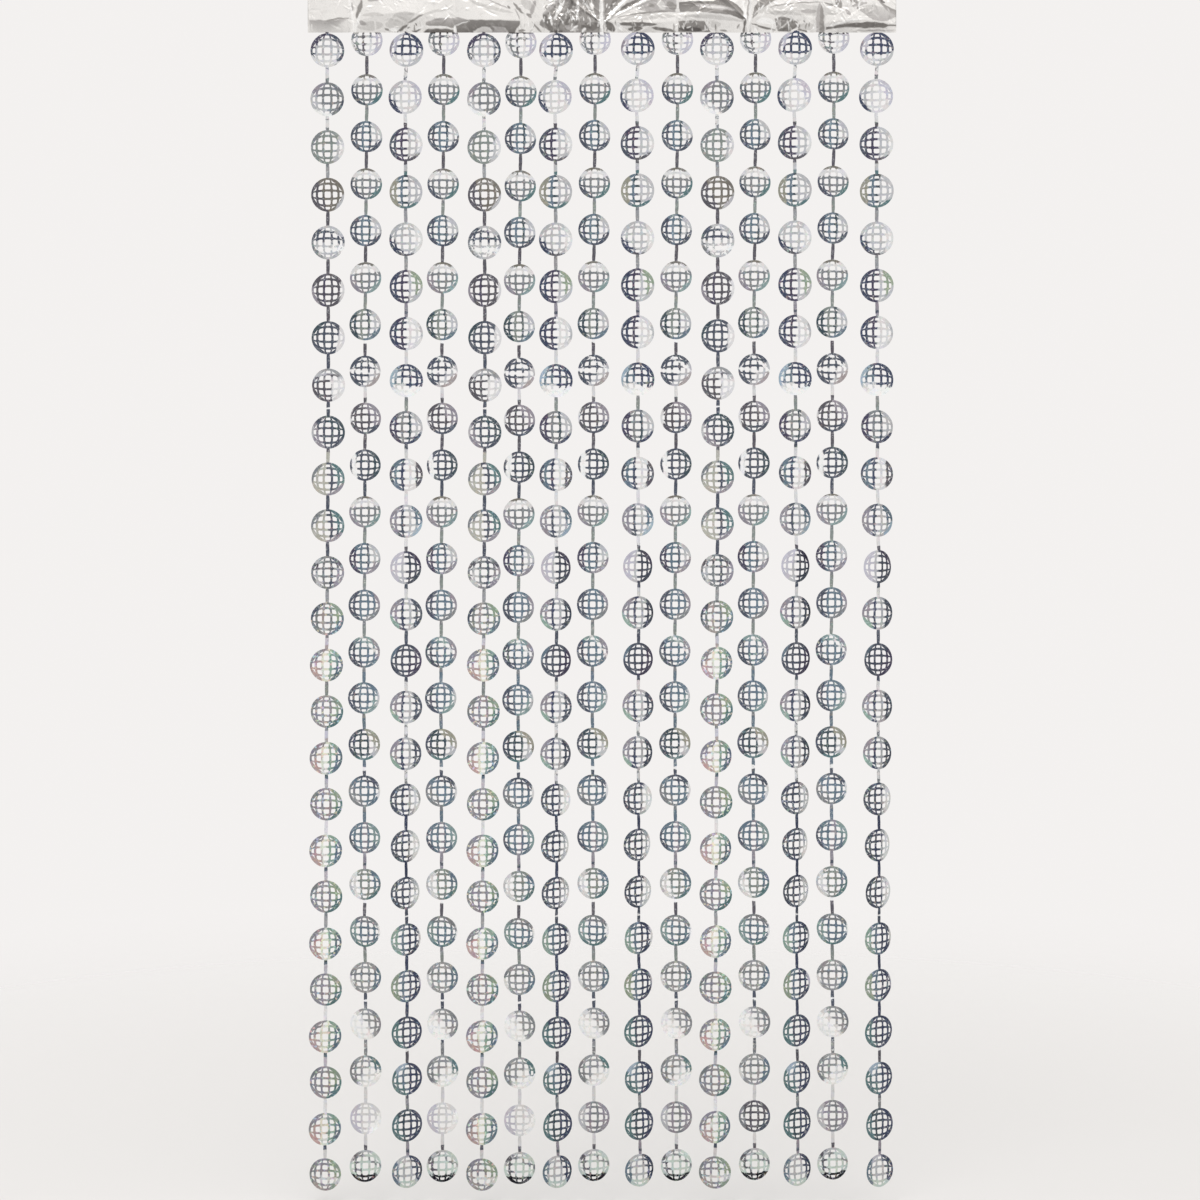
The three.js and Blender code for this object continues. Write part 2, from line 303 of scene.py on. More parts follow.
def discTemplate():
    half = halfStops()
    ends = [end for end, window, part in half]
    stops = [-end for end in reversed(ends)] + [0.0] + ends
    mirrored = [(None if w is None else -w, -part) for end, w, part in reversed(half)]
    stretches = mirrored + [(w, part) for end, w, part in half]
    count = len(stops)
    openCorner = {(-1, -1): 2, (1, -1): 3, (1, 1): 0, (-1, 1): 1}
    faces = []
    for i, (across, acrossPart) in enumerate(stretches):
        for j, (up, upPart) in enumerate(stretches):
            ring = [i * count + j, (i + 1) * count + j, (i + 1) * count + j + 1, i * count + j + 1]
            isWindow = across is not None and up is not None and not abs(across) == abs(up) == 2
            fill = windowFill(across, up, acrossPart, upPart) if isWindow else 1
            if fill == 1:
                faces.append(ring)
            elif fill:
                faces.append([k for n, k in enumerate(ring) if n != openCorner[fill]])
    used = sorted({k for face in faces for k in face})
    renumber = {k: n for n, k in enumerate(used)}
    square = np.array([(stops[k // count], stops[k % count]) for k in used])
    linked = [i for i, stop in enumerate(stops) if abs(stop) <= discCut["innerBar"][0]]
    top = [renumber[i * count + count - 1] for i in linked]
    foot = [renumber[i * count] for i in linked]
    return bulged(*square.T), [[renumber[k] for k in face] for face in faces], top, foot


template, templateFaces, topRow, footRow = discTemplate()
print("disc template:", len(template), "points,", len(templateFaces), "faces")


# Tones of the foil, as they look on screen, with its reflections painted in: dark and light parts of the
# mirror film

tones = {
    "white": "f6f4f6", "pearl": "dddadd", "silver": "bebdc2", "grey": "9c9ca0", "ash": "83858a",
    "sage": "8b918f", "khaki": "99978c", "sand": "b7b4ac", "brown": "7d7872", "coal": "605d65",
    "slate": "555a68", "navy": "474d64", "plum": "514c61", "deep": "47545d", "ink": "1c1c24",
    "steel": "6a7a89", "teal": "5e797d", "sea": "86999b", "leaf": "94a190", "lilac": "c6c2cf",
    "mauve": "958f9a", "pink": "bfa3a5", "rose": "a89ea0", "cream": "e6e3d8", "sky": "a2b2c2",
    "jade": "92a89f", "mint": "c8d3ce",
}

# The look of a disc: the angle of its upright crease, its base tone, how much the foil sparkles,
# how broken the edges are, and up to four layers over the base. Base and layers are mostly painted
# reflections, the dark and light parts that the mirror foil shows of its surroundings. A layer is
# painted past its edge in its direction, in degrees from the right, 90 being up, or past that radius
# for "rim". With two edges it is the stripe between them. Edges are in radii
discLooks = {
    # chains that sway
    "darkRim": (3, "silver", 0.3, 0.9, ("rim", 0.74, "slate"), (130, 0.66, "plum"), (-95, 0.42, "pearl"),
        (-20, 0.8, "slate")),
    "ashCrescents": (3, "ash", 0.3, 0.5, (150, 0.62, "mauve"), (-135, 0.45, "silver"),
        (-115, 0.78, "white"), (-20, 0.84, "slate")),
    "sageLitRight": (2, "sage", 0.3, 0.7, (145, 0.72, "ash"), (-8, 0.5, "silver"), (-8, 0.78, "pearl")),
    "brownFull": (2, "brown", 0.1, 0.3, (200, 0.3, "coal"), (-38, 0.8, "silver")),
    "patched": (4, "silver", 0.3, 1.3, (90, 0.04, "slate"), (65, 0.62, "silver"),
        (-90, (0.3, 0.6), "white"), (205, 0.8, "ash")),
    "coalLitRight": (3, "coal", 0.1, 0.4, (200, 0.75, "mauve"), (0, (-0.35, -0.15), "plum"),
        (-5, 0.76, "pearl")),
    "slateLitSide": (4, "slate", 0.1, 0.25, (150, 0.7, "deep"), (-5, 0.58, "pearl")),
    "coalQuarter": (6, "coal", 0.2, 0.45, (0, 0.12, "pearl"), (90, 0.3, "silver"),
        (100, (0.42, 0.6), "coal"), (75, 0.68, "grey")),
    "slateLitLeft": (3, "slate", 0.2, 0.7, (40, 0.35, "deep"), (205, 0.5, "mauve"), (185, 0.82, "silver")),
    "sandSlate": (6, "slate", 0.3, 0.4, (185, 0.0, "sand"), (20, 0.45, "teal"), (-55, 0.72, "mauve"),
        (150, 0.7, "ash")),
    "mixedGrey": (3, "ash", 0.4, 1.0, (0, (-0.75, -0.4), "silver"), (90, (0.3, 0.6), "coal"),
        (-25, 0.55, "mauve"), (0, (0.1, 0.36), "slate")),
    "greenRight": (3, "ash", 0.8, 0.4, (0, (-0.5, -0.05), "rose"), (20, 0.42, "leaf"), (-32, 0.62, "steel"),
        (150, 0.75, "slate")),
    "pastelPair": (8, "cream", 1, 0.6, (185, 0.3, "pink"), (140, 0.6, "mauve"), (0, 0.14, "jade"),
        (-15, 0.55, "steel")),
    "mauveGreen": (3, "mauve", 0.9, 0.4, (0, (-0.1, 0.15), "rose"), (8, 0.35, "leaf"), (-35, 0.6, "teal"),
        (160, 0.7, "ash")),
    "mauveWhite": (3, "mauve", 0.9, 0.7, (10, 0.25, "leaf"), (-90, (0.15, 0.6), "pearl"),
        (215, 0.5, "rose"), (170, 0.7, "ash")),
    # chains that face the room
    "underBand": (2, "pearl", 0.3, 1.0, (90, (0.15, 0.34), "ash"), (0, 0.4, "lilac"),
        (0, (-0.34, -0.1), "coal"), (205, (0.5, 0.8), "ash")),
    "whiteBand": (3, "ash", 0.3, 0.4, (215, 0.6, "slate"), (-40, 0.68, "teal"), (90, 0.36, "pearl"),
        (90, 0.78, "brown")),
    "paleBand": (3, "ash", 0.3, 0.4, (210, 0.6, "mauve"), (-40, 0.66, "sea"), (90, 0.34, "pearl"),
        (90, 0.82, "brown")),
    "slateBar": (7, "steel", 0.3, 0.5, (185, 0.42, "slate"), (0, (0.12, 0.31), "deep"), (0, 0.32, "silver"),
        (-50, 0.64, "slate")),
    "tealBar": (7, "sage", 0.3, 0.5, (185, 0.45, "deep"), (0, (0.12, 0.31), "deep"), (0, 0.33, "silver"),
        (-55, 0.68, "steel")),
    "brokenHalf": (5, "slate", 0.2, 0.4, (80, (-0.14, 0.05), "white"), (-40, 0.35, "silver"),
        (-45, 0.72, "rose"), (50, (0.5, 0.62), "white")),
    "coalMauve": (3, "coal", 0.2, 0.6, (25, 0.35, "mauve"), (-70, 0.6, "slate"), (180, 0.85, "pearl")),
    "openLeft": (4, "slate", 0.2, 0.3, (10, 0.45, "deep"), (0, (-0.84, -0.52), "white")),
    "steelMauve": (6, "steel", 0.4, 0.5, (185, 0.45, "plum"), (0, (0.1, 0.3), "slate"), (0, 0.34, "silver"),
        (-50, 0.62, "mauve")),
    "slateAsh": (2, "steel", 0.2, 0.4, (180, 0.35, "slate"), (-45, 0.6, "ash"), (20, 0.75, "mauve")),
    "steelMisted": (3, "steel", 0.5, 0.6, (200, 0.4, "slate"), (70, 0.5, "sea"), (15, 0.66, "mauve"),
        (40, (0.5, 0.62), "pearl")),
    "slateFlecked": (2, "steel", 0.3, 0.5, (190, 0.3, "slate"), (-30, 0.5, "sea"), (0, 0.85, "silver")),
    "deepTan": (6, "deep", 0.3, 0.4, (0, 0.28, "silver"), (38, 0.5, "khaki"), (180, 0.6, "slate"),
        (-90, 0.75, "teal")),
    "steelTop": (2, "steel", 0.3, 0.4, (60, 0.5, "slate"), (215, 0.4, "ash"), (-5, 0.84, "pearl")),
    "steelFull": (2, "steel", 0.3, 0.4, (20, 0.5, "sea"), (200, 0.7, "slate"), (0, (-0.1, 0.2), "mauve")),
    "pearlSteel": (4, "sage", 0.5, 0.7, (190, 0.35, "pearl"), (8, 0.5, "steel"), (-40, 0.7, "teal"),
        (185, 0.8, "silver")),
    "ashWhiteEdge": (4, "steel", 0.4, 0.5, (190, 0.4, "sea"), (75, 0.5, "ash"), (-85, 0.7, "teal"),
        (0, 0.86, "white")),
    "greySteel": (3, "grey", 0.5, 0.5, (185, 0.75, "pearl"), (90, (0.1, 0.45), "ash"),
        (-10, 0.55, "steel")),
    "greyAway": (4, "pearl", 0.4, 0.5, (-140, 0.15, "white"), (30, 0.1, "grey"), (15, 0.62, "ash")),
    "greyAcross": (4, "grey", 0.5, 0.6, (185, 0.6, "ash"), (-35, 0.05, "pearl"), (20, 0.6, "teal"),
        (-60, 0.5, "white")),
    "nearlyWhite": (2, "pearl", 0.3, 0.4, (180, 0.3, "lilac"), (-30, 0.6, "white")),
    "greyLate": (3, "mauve", 0.3, 0.5, (185, 0.5, "silver"), (0, (-0.1, 0.35), "ash")),
    "coalLate": (3, "coal", 0.2, 0.4, (185, 0.6, "ash"), (-20, 0.6, "slate")),
    "darkFoot": (4, "mint", 0.4, 0.7, (120, 0.6, "silver"), (195, (0.4, 0.7), "coal"),
        (60, (0.4, 0.58), "ash"), (-90, 0.54, "ink")),
    # chains that turn
    "navyTop": (4, "pearl", 0.3, 0.5, (88, -0.36, "navy"), (155, 0.58, "lilac"), (168, 0.86, "mauve"),
        (-55, 0.6, "silver")),
    "pearlCrescent": (3, "pearl", 0.3, 0.6, (170, 0.4, "silver"), (205, 0.72, "navy"), (25, 0.5, "lilac")),
    "plumHalf": (8, "plum", 0.3, 0.4, (180, 0.6, "slate"), (0, 0.1, "silver"), (5, 0.7, "pearl"),
        (-72, 0.82, "coal")),
    "khakiTeal": (5, "khaki", 0.2, 0.6, (0, -0.45, "steel"), (0, -0.12, "deep"), (0, 0.12, "silver"),
        (-75, 0.75, "teal")),
    "silverFoot": (4, "silver", 0.4, 0.6, (0, 0.5, "pearl"), (222, 0.58, "navy"), (-100, 0.84, "coal")),
    "plumLeaf": (8, "plum", 0.3, 0.3, (180, 0.45, "navy"), (0, 0.1, "silver"), (10, 0.42, "leaf"),
        (-30, 0.8, "silver")),
    "navyPearl": (8, "navy", 0.3, 0.3, (0, (-0.45, -0.1), "plum"), (0, 0.02, "pearl"), (8, 0.86, "silver")),
    "navySky": (4, "pearl", 0.4, 0.7, (88, -0.22, "steel"), (20, -0.1, "navy"), (160, 0.7, "sky"),
        (-85, 0.48, "white")),
    "plumDeepBar": (6, "ash", 0.3, 0.4, (185, 0.4, "plum"), (0, (0.1, 0.3), "deep"), (0, 0.33, "silver"),
        (-55, 0.76, "navy")),
    "steelNavyBar": (6, "steel", 0.4, 0.4, (0, -0.34, "navy"), (0, -0.08, "pearl"), (0, 0.55, "coal"),
        (180, 0.75, "slate")),
    "mauveNavyBar": (6, "mauve", 0.4, 0.6, (0, -0.36, "slate"), (0, -0.12, "silver"), (15, 0.55, "steel"),
        (-35, 0.75, "sky")),
    "silverSlate": (9, "silver", 0.2, 0.15, (170, 0.3, "lilac"), (0, -0.08, "slate"), (40, 0.66, "plum")),
    "twoBars": (7, "mauve", 0.4, 0.5, (225, 0.74, "jade"), (0, -0.34, "navy"), (0, -0.12, "silver"),
        (0, 0.42, "slate")),
    "slateDark": (2, "slate", 0.1, 0.1, (-20, 0.3, "plum"), (150, 0.8, "steel")),
    "navyWhite": (8, "navy", 0.5, 1.0, (180, 0.2, "slate"), (0, 0.2, "silver"), (0, 0.45, "white")),
    "jadeNavy": (5, "steel", 0.4, 0.5, (190, 0.45, "jade"), (0, 0.05, "navy"), (0, 0.82, "pearl")),
    "leafNavy": (5, "navy", 0.4, 0.4, (180, -0.05, "steel"), (185, 0.42, "leaf"), (10, 0.86, "lilac")),
    "tealNavy": (3, "navy", 0.3, 0.3, (180, (-0.1, 0.3), "slate"), (190, 0.35, "teal")),
    "skyNavy": (3, "steel", 0.3, 0.3, (150, 0.5, "sky"), (210, 0.4, "teal"), (0, 0.12, "navy")),
    "deepNavy": (3, "deep", 0.2, 0.3, (0, 0.15, "navy"), (190, 0.45, "teal")),
    "silverNavyEdge": (4, "silver", 0.5, 0.6, (-100, 0.5, "mint"), (180, 0.6, "steel"), (22, 0.42, "navy")),
}

linkLooks = {  # the same for a link, painted reflections too, with no crease, and 90 being its upper end
    "coal": ("coal", 0.1, 0.2),
    "slate": ("slate", 0.1, 0.2),
    "navy": ("navy", 0.1, 0.1),
    "sage": ("sage", 0.2, 0.3, (90, 0.5, "ash")),
    "grey": ("grey", 0.2, 0.3, (90, 0.6, "ash")),
    "dotted": ("pearl", 0.3, 2.5, (90, 0.55, "ash"), (90, 0.75, "pearl"), (-90, 0.5, "ash")),
    "pearl": ("pearl", 0.3, 0.4),
    "pearlDarkFoot": ("pearl", 0.2, 0.3, (-90, 0.35, "coal")),
    "darkHeadPearl": ("pearl", 0.3, 0.3, (90, 0.3, "slate")),
    "darkHeadLilac": ("lilac", 0.4, 0.3, (90, 0.35, "steel"), (90, 0.7, "deep")),
    "darkEndsLilac": ("lilac", 0.4, 0.3, (90, 0.6, "ash"), (-90, 0.5, "rose")),
    "slateGap": ("slate", 0.1, 0.1, (90, -0.1, "white"), (90, 0.15, "slate")),
    "steelGap": ("slate", 0.2, 0.2, (90, -0.35, "white"), (90, 0.1, "steel")),
    "coalGapHead": ("coal", 0.1, 0.1, (90, 0.6, "white")),
    "mauve": ("mauve", 0.2, 0.3, (-90, 0.2, "slate"), (-90, 0.6, "mauve")),
    "sandDarkHead": ("sand", 0.2, 0.3, (90, 0.5, "coal")),
    "tealFoot": ("silver", 0.2, 0.4, (90, 0.5, "coal"), (-90, 0.5, "teal")),
    "steel": ("steel", 0.2, 0.4, (90, 0.4, "ash")),
    "speckled": ("grey", 0.3, 2.0, (-90, 0.1, "ash"), (90, 0.6, "slate")),
}

lookChart = {  # for each disc from the top down, the look of the link above it and its own
    "swaying": [
        ("coal", "darkRim"), ("dotted", "ashCrescents"), ("dotted", "sageLitRight"), ("grey", "brownFull"),
        ("coal", "patched"), ("coal", "coalLitRight"), ("coal", "slateLitSide"), ("slate", "coalQuarter"),
        ("slateGap", "slateLitLeft"), ("sandDarkHead", "sandSlate"), ("slate", "sandSlate"),
        ("slate", "mixedGrey"), ("grey", "greenRight"), ("darkEndsLilac", "pastelPair"),
        ("sage", "mauveGreen"), ("darkEndsLilac", "pastelPair"), ("darkHeadLilac", "mauveGreen"),
        ("pearl", "pastelPair"), ("darkHeadLilac", "mauveGreen"), ("grey", "pastelPair"),
        ("darkHeadLilac", "mauveGreen"), ("pearl", "pastelPair"), ("darkHeadLilac", "mauveGreen"),
        ("pearl", "pastelPair"), ("darkHeadPearl", "mauveWhite"),
    ],
    "facing": [
        ("coal", "underBand"), ("coal", "whiteBand"), ("sage", "slateBar"), ("coal", "whiteBand"),
        ("sage", "slateBar"), ("coal", "paleBand"), ("sage", "tealBar"), ("coalGapHead", "brokenHalf"),
        ("pearlDarkFoot", "coalMauve"), ("coal", "openLeft"), ("slate", "paleBand"), ("sage", "steelMauve"),
        ("sage", "slateAsh"), ("sage", "steelMisted"), ("steel", "slateFlecked"), ("steel", "deepTan"),
        ("steelGap", "steelTop"), ("steel", "steelFull"), ("mauve", "pearlSteel"),
        ("coalGapHead", "ashWhiteEdge"), ("sage", "greySteel"), ("slateGap", "greyAway"),
        ("speckled", "greyAcross"), ("pearl", "nearlyWhite"), ("pearlDarkFoot", "darkFoot"),
    ],
    "turned": [
        ("coal", "navyTop"), ("dotted", "pearlCrescent"), ("pearlDarkFoot", "plumHalf"),
        ("tealFoot", "khakiTeal"), ("grey", "silverFoot"), ("grey", "plumLeaf"), ("mauve", "navyPearl"),
        ("pearl", "navySky"), ("sage", "plumDeepBar"), ("darkHeadPearl", "steelNavyBar"),
        ("pearl", "mauveNavyBar"), ("pearlDarkFoot", "silverSlate"), ("darkHeadPearl", "twoBars"),
        ("slate", "slateDark"), ("darkHeadPearl", "twoBars"), ("dotted", "twoBars"),
        ("dotted", "navyWhite"), ("navy", "navyWhite"), ("navy", "navyWhite"), ("slateGap", "jadeNavy"),
        ("navy", "leafNavy"), ("navy", "tealNavy"), ("coalGapHead", "skyNavy"), ("speckled", "deepNavy"),
        ("mauve", "silverNavyEdge"),
    ],
}

ownLooks = {  # (strand, disc): discs that look unlike the others of their row
    (8, 24): "greyLate", (10, 24): "greyLate", (12, 24): "coalLate", (14, 24): "greyLate",
    (12, 23): "greySteel",
}

painting = {
    "layers": 4,                     # the most that a look has, two for each UV map
    "turn": 5,                       # how far a layer's direction varies, in degrees
    "shift": 0.03,                   # how far its edge varies, in radii
    "beyond": 9.0,                   # radii, past every point
}
uvMaps = ("firstLayers", "lastLayers")
toneValues = {name: hexTint(code) for name, code in tones.items()}


def upTo(rng, most):  # a random value from -most to most
    return rng.uniform(-most, most)


def pastEdges(points, painted, rng):  # how far each point lies past each layer's edge, in radii
    columns = []
    for direction, edge, tone in painted:
        if direction == "rim":
            along = np.hypot(points[:, 0], points[:, 1])
        else:
            angle = math.radians(direction + upTo(rng, painting["turn"]))
            along = points[:, 0] * math.cos(angle) + points[:, 1] * math.sin(angle)
        along = along - upTo(rng, painting["shift"])
        near, far = edge if isinstance(edge, tuple) else (edge, painting["beyond"])
        columns.append(np.minimum(along - near, far - along))
    columns += [np.full(len(points), -painting["beyond"])] * (painting["layers"] - len(columns))
    return np.column_stack(columns)


def lookTones(base, sparkle, broken, painted):  # a row for each tone; two carry a number as well
    names = [base] + [tone for direction, edge, tone in painted]
    names += [base] * (painting["layers"] + 1 - len(names))
    rows = [list(toneValues[name]) for name in names]
    rows[0][3] = sparkle
    rows[1][3] = broken
    return rows


crinkles = {                         # of a disc: lengths in radii, angles in degrees
    "lineShift": 0.06,               # how far the upright crease lies off the middle
    "lineLean": 0.05,
    "curl": (3, 9),
    "curlWays": [0.3, 0.7],          # shares of the discs that curl to the face, and to the back
    "bow": 5,
    "dents": 2,
    "dentDepth": 0.008,
    "dentRates": (2, 5),
}
wavePhase = 6                        # radians, nearly a whole wave


def waves(x, z, rng, count, rates):  # uneven waves that cross each other
    total = 0
    for k in range(count):
        slope = rng.uniform(*rates) * x + rng.uniform(*rates) * z * rng.choice([-1, 1])
        total = total + np.sin(slope + rng.uniform(0, wavePhase))
    return total


def discRelief(points, crease, rng):  # out of the disc's plane, in radii, to its back
    x, z = points.T
    line = upTo(rng, crinkles["lineShift"]) + crinkles["lineLean"] * z * upTo(rng, 1)
    fold = math.tan(math.radians(crease)) * np.abs(x - line)
    curl = math.tan(math.radians(rng.uniform(*crinkles["curl"]))) * x * x / 2
    way = rng.choice([-1, 1], p=crinkles["curlWays"])
    bow = math.tan(math.radians(upTo(rng, crinkles["bow"]))) * z * z / 2
    dents = crinkles["dentDepth"] * waves(x, z, rng, crinkles["dents"], crinkles["dentRates"])
    relief = fold + curl * way + bow + dents
    return relief - relief.mean()


class Film:  # gathers a piece's points, faces and looks
    def __init__(self):
        self.points, self.faces, self.past, self.faceTones = [], [], [], []
        self.count = 0

    def add(self, points, faces, flat, look, rng):  # flat: the points' places in the look, in radii
        base, sparkle, broken, *painted = look
        self.faces += [[k + self.count for k in face] for face in faces]
        self.faceTones += [lookTones(base, sparkle, broken, painted)] * len(faces)
        self.points.append(points)
        self.past.append(pastEdges(flat, painted, rng))
        self.count += len(points)

    def piece(self, name):
        mesh = bpy.data.meshes.new(name)
        mesh.from_pydata(np.vstack(self.points).tolist(), [], self.faces)
        corners = np.empty(len(mesh.loops), np.int32)
        mesh.loops.foreach_get("vertex_index", corners)
        past = np.vstack(self.past)[corners].astype(np.float32)
        for k, uvMap in enumerate(uvMaps):
            layer = mesh.uv_layers.new(name=uvMap)
            layer.data.foreach_set("uv", past[:, 2 * k:2 * k + 2].ravel())
        sizes = [len(face) for face in self.faces]
        for k in range(painting["layers"] + 1):
            values = np.array([rows[k] for rows in self.faceTones], np.float32)
            attribute = mesh.color_attributes.new("tone%d" % k, "FLOAT_COLOR", "CORNER")
            attribute.data.foreach_set("color", np.repeat(values, sizes, axis=0).ravel())
        return finishPiece(name, mesh)


link = {
    "steps": 4,
    "spread": 1.18,                  # how much wider it is than its roots on the discs
    "sway": 0.25 * mm,
    "hollow": 0.3 * mm,              # how far its middle lies behind its edges
}


def addLink(film, above, head, look, rng):  # from one row of points down to another
    wide = len(head)
    rows = []
    for step in range(link["steps"] + 1):
        share = step / link["steps"]
        arch = math.sin(math.pi * share)
        row = above + (head - above) * share
        if 0 < step < link["steps"]:
            row += (link["spread"] - 1) * (row - row.mean(axis=0))
        row[:, 0] += arch * upTo(rng, link["sway"])
        row[1:-1, 1] += arch * link["hollow"]
        rows.append(row)
    across = np.tile(np.linspace(-1, 1, wide), link["steps"] + 1)
    up = np.repeat(np.linspace(1, -1, link["steps"] + 1), wide)
    faces = [
        [s * wide + k, (s + 1) * wide + k, (s + 1) * wide + k + 1, s * wide + k + 1]
        for s in range(link["steps"])
        for k in range(wide - 1)
    ]
    film.add(np.vstack(rows), faces, np.column_stack([across, up]), look, rng)


def buildStrand(number, x, layerName, kind, drop, rng):
    film = Film()
    above = None
    for disc in range(1, fringe["discs"] + 1):
        linkLook, discLook = lookChart[kind][disc - 1]
        crease, *look = discLooks[ownLooks.get((number, disc), discLook)]
        radius, centre, axes = discPlace(x, layerName, kind, drop, disc)
        relief = discRelief(template, crease, rng)
        local = np.column_stack([template[:, 0], relief, template[:, 1]]) * radius
        placed = centre + local @ axes.T
        head = placed[topRow]
        if above is None:
            above = head * [1, 0, 0] + [0, layers[layerName]["plane"], fringe["root"]]
        addLink(film, above, head, linkLooks[linkLook], rng)
        film.add(placed, templateFaces, template, look, rng)
        above = placed[footRow]
    return film.piece("strand_%02d" % number)


def finishPiece(name, mesh):  # joins the film's points and gives it its thickness
    mesh.validate()
    piece = addObject(name, mesh)
    bpy.context.view_layer.objects.active = piece
    weld = piece.modifiers.new("weld", "WELD")
    weld.merge_threshold = fringe["weld"]
    solidify = piece.modifiers.new("film", "SOLIDIFY")
    solidify.thickness = fringe["film"]
    solidify.offset = 0
    for modifier in ("weld", "film"):
        with bpy.context.temp_override(object=piece):
            bpy.ops.object.modifier_apply(modifier=modifier)
    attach(piece, "root")
    return piece


# Holographic foil: mirror film in its layers' tones, which hold painted reflections, with broken edges
# and a fine sparkle of painted glints

foilLook = {                         # scales per metre; each "From" is where a mask starts, and is full
    "roughness": 0.22,
    "bump": (0.2, 0.6 * mm),         # strength and height
    "bumpScale": 260.0,
    "edgeWidth": 0.05,               # soft width of a layer's edge, in radii
    "edgeBreak": (0.1, 0.9),         # how far noise moves it: always, and more where it is broken
    "edgeScale": 150.0,
    "mottle": 0.22,
    "mottleScale": 130.0,
    "mottleFrom": (0.52, 0.74),
    "mottleLight": "e8e6ea",
    "mottleShade": (0.35, 0.36, 0.4, 1.0),
    "glintFlecks": (0.25, 0.35),          # how light the tiny painted glints are: always, and more where it is broken
    "glintFleckScale": 330.0,
    "glintFleckFrom": (0.58, 0.68),
    "glintFleckTone": "eeedf0",
    "hue": (0.05, 0.22),             # how strong the rainbow tint is: always, and more where it sparkles
    "hueScale": 70.0,
    "hueStart": 0.3,                 # the noise that gives the rainbow's first colour
    "hueSpread": 2.5,
    "sparkleScale": 350.0,
    "glint": 0.6,
    "glintFrom": (0.78, 0.98),
    "dull": (0.044, 0.176),          # how dark the dull grains are: always, and more where it sparkles
    "dullFrom": (0.75, 0.95),
    "dullTone": (0.06, 0.08, 0.11, 1.0),
}

rainbowStops = [
    (0.0, (1.0, 0.55, 0.6, 1)), (0.28, (0.98, 0.93, 0.6, 1)), (0.5, (0.6, 0.95, 0.68, 1)),
    (0.74, (0.55, 0.8, 1.0, 1)), (1.0, (0.85, 0.65, 1.0, 1)),
]


def amount(pair, mask):  # the first everywhere, and the second more where the mask is 1
    always, more = pair
    return mask * more + always


def foilSurface(shader, look, color, height):
    strength, depth = look["bump"]
    bump = shader.node("ShaderNodeBump", {}, {"Strength": strength, "Distance": depth, "Height": height})
    surface = shader.node(
        "ShaderNodeBsdfPrincipled", {},
        {"Base Color": color, "Metallic": 1.0, "Roughness": look["roughness"], "Normal": bump},
    )
    shader.node("ShaderNodeOutputMaterial", {}, {0: surface})


def holographicFoil():
    material, shader = newMaterial("holographic_foil")
    place = shader.node("ShaderNodeTexCoord", out="Object")
    # the base and layer tones hold the looks' painted reflections
    color = shader.attribute("tone0")
    sparkle = shader.attribute("tone0", "Alpha")
    broken = shader.attribute("tone1", "Alpha")
    ragged = (shader.noise(place, foilLook["edgeScale"], 3.0) - 0.5) * amount(foilLook["edgeBreak"], broken)
    for k, uvMap in enumerate(uvMaps):
        uv = shader.node("ShaderNodeUVMap", {"uv_map": uvMap})
        for n, axis in enumerate("XY"):
            past = shader.node("ShaderNodeSeparateXYZ", {}, {0: uv}, out=axis)
            tone = shader.attribute("tone%d" % (2 * k + n + 1))
            share = shader.between(past + ragged, -foilLook["edgeWidth"], foilLook["edgeWidth"])
            color = shader.mix(share, color, tone)

    mottle = shader.noise(place, foilLook["mottleScale"], 4.0)
    lighter = shader.between(mottle, *foilLook["mottleFrom"]) * foilLook["mottle"]
    darker = shader.between(1 - mottle, *foilLook["mottleFrom"]) * foilLook["mottle"]
    color = shader.mix(lighter, color, hexTint(foilLook["mottleLight"]))
    color = shader.mix(darker, color, foilLook["mottleShade"], "MULTIPLY")
    # painted glints: tiny light specks, more where the edges are broken
    fleckGlintMask = shader.between(shader.noise(place, foilLook["glintFleckScale"]), *foilLook["glintFleckFrom"])
    color = shader.mix(fleckGlintMask * amount(foilLook["glintFlecks"], broken), color, hexTint(foilLook["glintFleckTone"]))
    spread = (shader.noise(place, foilLook["hueScale"]) - foilLook["hueStart"]) * foilLook["hueSpread"]
    hue = shader.node("ShaderNodeValToRGB", {"stops": rainbowStops}, {0: spread})
    color = shader.mix(amount(foilLook["hue"], sparkle), color, hue, "MULTIPLY")

    # painted glints: rainbow grains where the foil sparkles
    cells = shader.node(
        "ShaderNodeTexVoronoi", {}, {"Vector": place, "Scale": foilLook["sparkleScale"]}, out="Color"
    )
    grain = shader.node("ShaderNodeSeparateColor", {}, {0: cells}, out="Red")
    cellHue = shader.node("ShaderNodeSeparateColor", {}, {0: cells}, out="Green")
    rainbow = shader.node("ShaderNodeValToRGB", {"stops": rainbowStops}, {0: cellHue})
    glint = shader.between(grain, *foilLook["glintFrom"]) * sparkle * foilLook["glint"]
    color = shader.mix(glint, color, rainbow)
    dull = shader.between(1 - grain, *foilLook["dullFrom"]) * amount(foilLook["dull"], sparkle)
    color = shader.mix(dull, color, foilLook["dullTone"])
    foilSurface(shader, foilLook, color, shader.noise(place, foilLook["bumpScale"]))
    return material


# Heading and top strips: crinkled plain foil, with the packing folds and swags of the solid, and the
# folds' shade and highlights painted into the heading's colour

heading = {                          # mm, as the tables below
    "width": 1000,
    "top": 0,
    "drop": 60,
    "plane": -2.35,                  # the middle of the solid's foil where it is flat
    "step": 1.25,                    # between the mesh's points
    "creases": 620,
    "relief": (0.15, 0.75),          # of a fine crease
    "slopeShade": 0.7,               # painted shade: how much a slope that faces down darkens the foil
    "shadeRange": (0.25, 1.6),
    "edge": 1.2,                     # soft width of a fold's edge
    "waver": (0.32, 0.192),          # how far the folds' edges waver, sideways and upwards
    "waverWaves": 4,
    "waverRates": (0.1, 0.7),
    "leafEnds": 0.6,                 # how blunt the ends of a leaf of foil are: 0 square, 1 pointed
}

